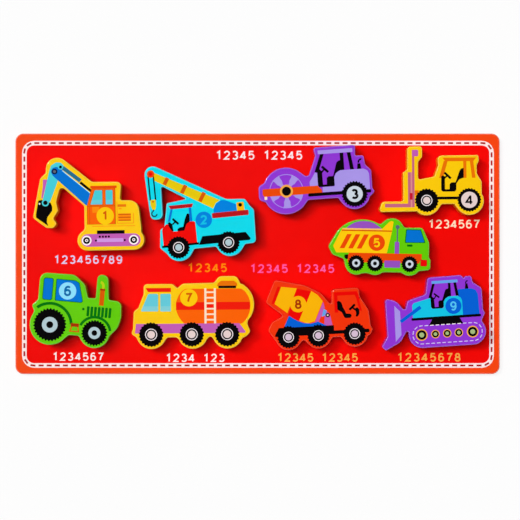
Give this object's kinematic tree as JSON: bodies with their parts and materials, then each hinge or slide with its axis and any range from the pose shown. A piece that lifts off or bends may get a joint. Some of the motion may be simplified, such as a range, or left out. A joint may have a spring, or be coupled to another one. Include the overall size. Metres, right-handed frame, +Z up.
{
  "type": "hook and loop puzzle board",
  "caption": "Red wooden board with a dashed border and numbered vehicle blocks that press onto round hook and loop dots and pull off again.",
  "frame": {"origin": "under the middle of the board, on its flat underside", "axes": "+X along the board's length to the right, +Y towards its upper edge, +Z up out of the printed face"},
  "size_m": [0.3, 0.149, 0.0206],
  "materials": {
    "red_wood": "red gloss paint with printed border",
    "yellow_wood": "yellow gloss paint, printed face",
    "cyan_wood": "cyan gloss paint, printed face",
    "purple_wood": "purple gloss paint, printed face",
    "green_wood": "green gloss paint, printed face",
    "vermilion_wood": "orange-red gloss paint, printed face",
    "hook_nylon": "moulded nylon hooks, off-white",
    "loop_nylon": "napped nylon loops, off-white"
  },
  "bodies": {
    "board": {"base_board": "red_wood", "excavator_loop_dots": "loop_nylon", "crane_loop_dots": "loop_nylon", "street_roller_loop_dots": "loop_nylon", "forklift_loop_dots": "loop_nylon", "tipper_truck_loop_dots": "loop_nylon", "tractor_loop_dots": "loop_nylon", "tank_car_loop_dots": "loop_nylon", "truck_mixer_loop_dots": "loop_nylon", "bulldozer_loop_dots": "loop_nylon"},
    "excavator_piece": {"excavator": "yellow_wood", "excavator_hook_dots": "hook_nylon"},
    "crane_piece": {"crane": "cyan_wood", "crane_hook_dots": "hook_nylon"},
    "street_roller_piece": {"street_roller": "purple_wood", "street_roller_hook_dots": "hook_nylon"},
    "forklift_piece": {"forklift": "yellow_wood", "forklift_hook_dots": "hook_nylon"},
    "tipper_truck_piece": {"tipper_truck": "green_wood", "tipper_truck_hook_dots": "hook_nylon"},
    "tractor_piece": {"tractor": "green_wood", "tractor_hook_dots": "hook_nylon"},
    "tank_car_piece": {"tank_car": "yellow_wood", "tank_car_hook_dots": "hook_nylon"},
    "truck_mixer_piece": {"truck_mixer": "vermilion_wood", "truck_mixer_hook_dots": "hook_nylon"},
    "bulldozer_piece": {"bulldozer": "purple_wood", "bulldozer_hook_dots": "hook_nylon"}
  },
  "joints": [
    {"name": "excavator_lift", "type": "slide", "parent": "board", "child": "excavator_piece", "axis": [0, 0, 1], "range_m": [0, 0.03]},
    {"name": "crane_lift", "type": "slide", "parent": "board", "child": "crane_piece", "axis": [0, 0, 1], "range_m": [0, 0.03]},
    {"name": "street_roller_lift", "type": "slide", "parent": "board", "child": "street_roller_piece", "axis": [0, 0, 1], "range_m": [0, 0.03]},
    {"name": "forklift_lift", "type": "slide", "parent": "board", "child": "forklift_piece", "axis": [0, 0, 1], "range_m": [0, 0.03]},
    {"name": "tipper_truck_lift", "type": "slide", "parent": "board", "child": "tipper_truck_piece", "axis": [0, 0, 1], "range_m": [0, 0.03]},
    {"name": "tractor_lift", "type": "slide", "parent": "board", "child": "tractor_piece", "axis": [0, 0, 1], "range_m": [0, 0.03]},
    {"name": "tank_car_lift", "type": "slide", "parent": "board", "child": "tank_car_piece", "axis": [0, 0, 1], "range_m": [0, 0.03]},
    {"name": "truck_mixer_lift", "type": "slide", "parent": "board", "child": "truck_mixer_piece", "axis": [0, 0, 1], "range_m": [0, 0.03]},
    {"name": "bulldozer_lift", "type": "slide", "parent": "board", "child": "bulldozer_piece", "axis": [0, 0, 1], "range_m": [0, 0.03]}
  ]
}
